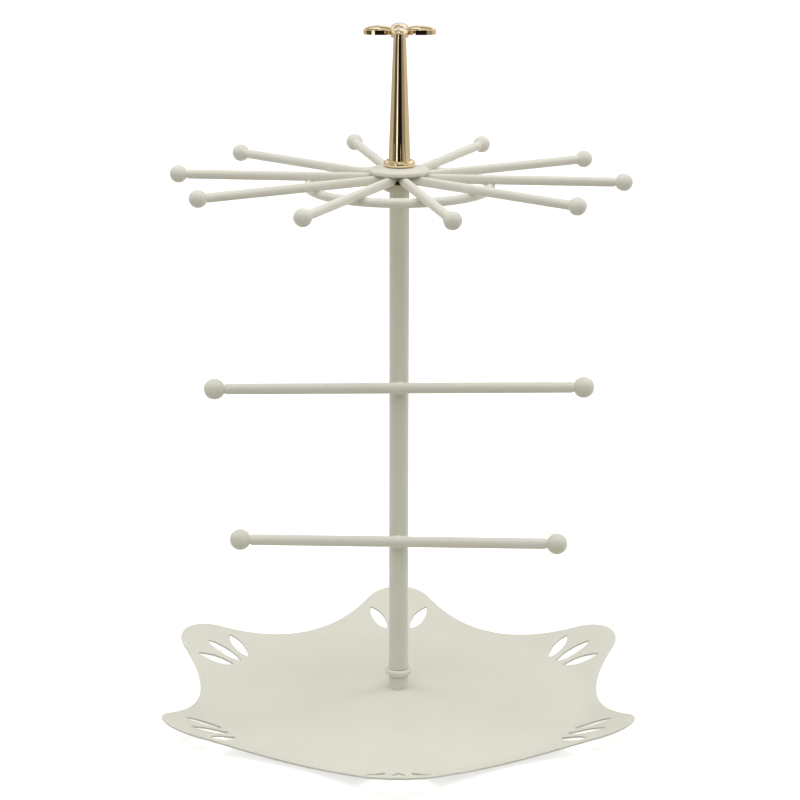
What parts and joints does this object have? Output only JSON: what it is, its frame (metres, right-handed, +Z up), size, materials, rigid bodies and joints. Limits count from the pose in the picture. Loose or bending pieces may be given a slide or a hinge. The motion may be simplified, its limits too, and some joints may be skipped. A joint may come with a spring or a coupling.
{
  "type": "rotating jewellery stand",
  "caption": "Turning jewellery tree: lobed dish tray, pole with two ball-ended cross bars, crown of radial ball-ended arms over an earring ring, gold flower handle.",
  "frame": {"origin": "on the surface the stand rests on, on the axis of the pole", "axes": "+Z up the pole; -Y towards the viewer, so the cross bars run along X on the pole's front"},
  "size_m": [0.2442, 0.2754, 0.363],
  "materials": {
    "cream_coat": "satin powder coat",
    "cream_plastic": "satin moulded",
    "pale_gold": "polished pale gold plate",
    "zinc_steel": "zinc plated",
    "bush_plastic": "natural",
    "pad_rubber": "clear grey silicone"
  },
  "bodies": {
    "base": {"tray": "cream_coat", "foot_pads": "pad_rubber", "base_screw": "zinc_steel", "base_washer": "zinc_steel", "foot_tube": "cream_coat", "swivel_collar": "cream_plastic", "spindle": "zinc_steel", "spindle_retainer": "zinc_steel"},
    "column": {"pole_tube": "cream_coat", "lower_bush": "bush_plastic", "upper_bush": "bush_plastic", "top_plug": "cream_coat", "hub_disc": "cream_coat", "earring_ring": "cream_coat", "upper_bar": "cream_coat", "upper_bar_ball_right": "cream_coat", "upper_bar_ball_left": "cream_coat", "lower_bar": "cream_coat", "lower_bar_ball_right": "cream_coat", "lower_bar_ball_left": "cream_coat", "finial_stud": "zinc_steel", "finial_ring": "pale_gold", "finial_stem": "pale_gold", "finial_flower": "pale_gold", "arm_01": "cream_coat", "arm_02": "cream_coat", "arm_03": "cream_coat", "arm_04": "cream_coat", "arm_05": "cream_coat", "arm_06": "cream_coat", "arm_07": "cream_coat", "arm_08": "cream_coat", "arm_09": "cream_coat", "arm_10": "cream_coat", "arm_ball_01": "cream_coat", "arm_ball_02": "cream_coat", "arm_ball_03": "cream_coat", "arm_ball_04": "cream_coat", "arm_ball_05": "cream_coat", "arm_ball_06": "cream_coat", "arm_ball_07": "cream_coat", "arm_ball_08": "cream_coat", "arm_ball_09": "cream_coat", "arm_ball_10": "cream_coat"}
  },
  "joints": [
    {"name": "column_spin", "type": "hinge", "parent": "base", "child": "column", "pos_m": [0, 0, 0.0186], "axis": [0, 0, 1], "continuous": true}
  ]
}
